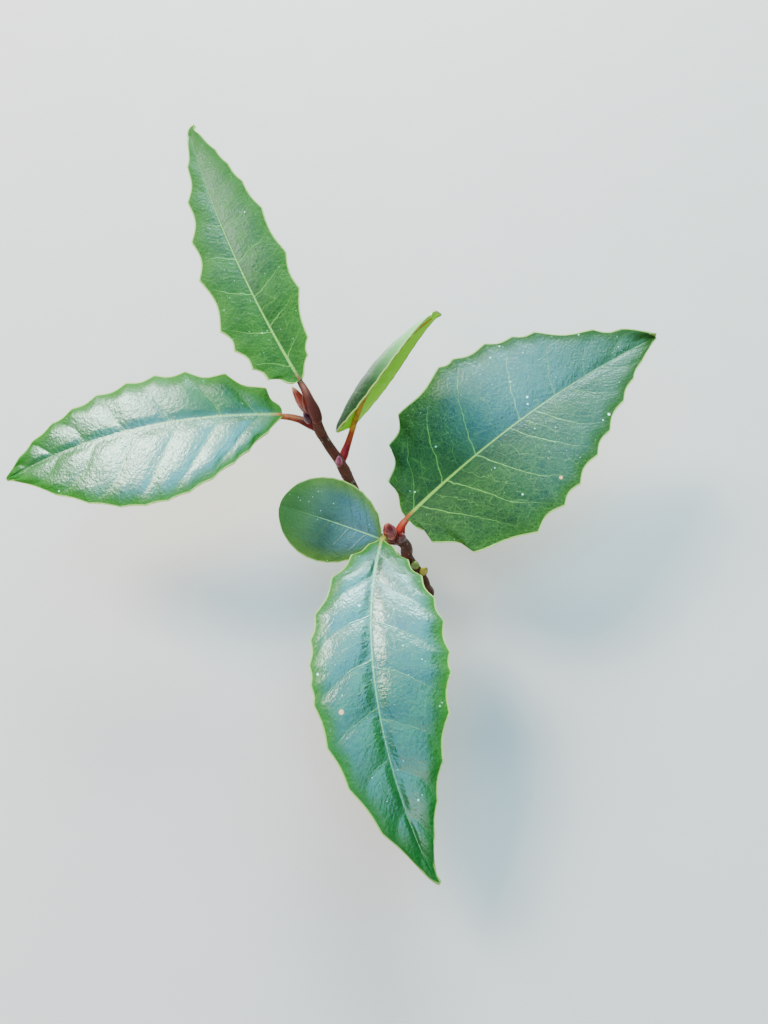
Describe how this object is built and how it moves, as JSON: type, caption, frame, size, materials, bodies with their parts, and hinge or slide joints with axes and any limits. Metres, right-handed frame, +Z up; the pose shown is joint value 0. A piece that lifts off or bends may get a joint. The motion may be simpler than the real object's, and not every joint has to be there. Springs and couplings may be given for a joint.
{
  "type": "bay laurel seedling",
  "caption": "Young bay laurel plant with red-brown shoots that rise from a root collar, glossy pointed leaves with finely toothed pale margins, red stalks and small red buds.",
  "frame": {"origin": "centre of the flat cut under the root collar, at ground level", "axes": "+Z up, +X to the right and -Y towards the viewer of the picture"},
  "size_m": [0.108, 0.1152, 0.048],
  "materials": {
    "bark": "smooth dark red-brown young bark, slightly glossy",
    "leaf": "glossy leathery green above, matte yellow-green below",
    "bud": "shiny dark red bud scales",
    "pale_bud": "matte yellow-green bud scales"
  },
  "bodies": {
    "root": {"root_collar": "bark", "short_shoot": "bark", "tall_shoot": "bark", "front_leaf": "leaf", "right_leaf": "leaf", "top_leaf": "leaf", "left_leaf": "leaf", "round_leaf": "leaf", "folded_leaf": "leaf", "short_shoot_end_bud": "bud", "right_side_bud": "bud", "tall_shoot_end_bud": "bud", "upper_side_bud": "bud", "lower_side_bud": "bud", "basal_bud_a": "pale_bud", "basal_bud_b": "pale_bud"}
  },
  "joints": []
}
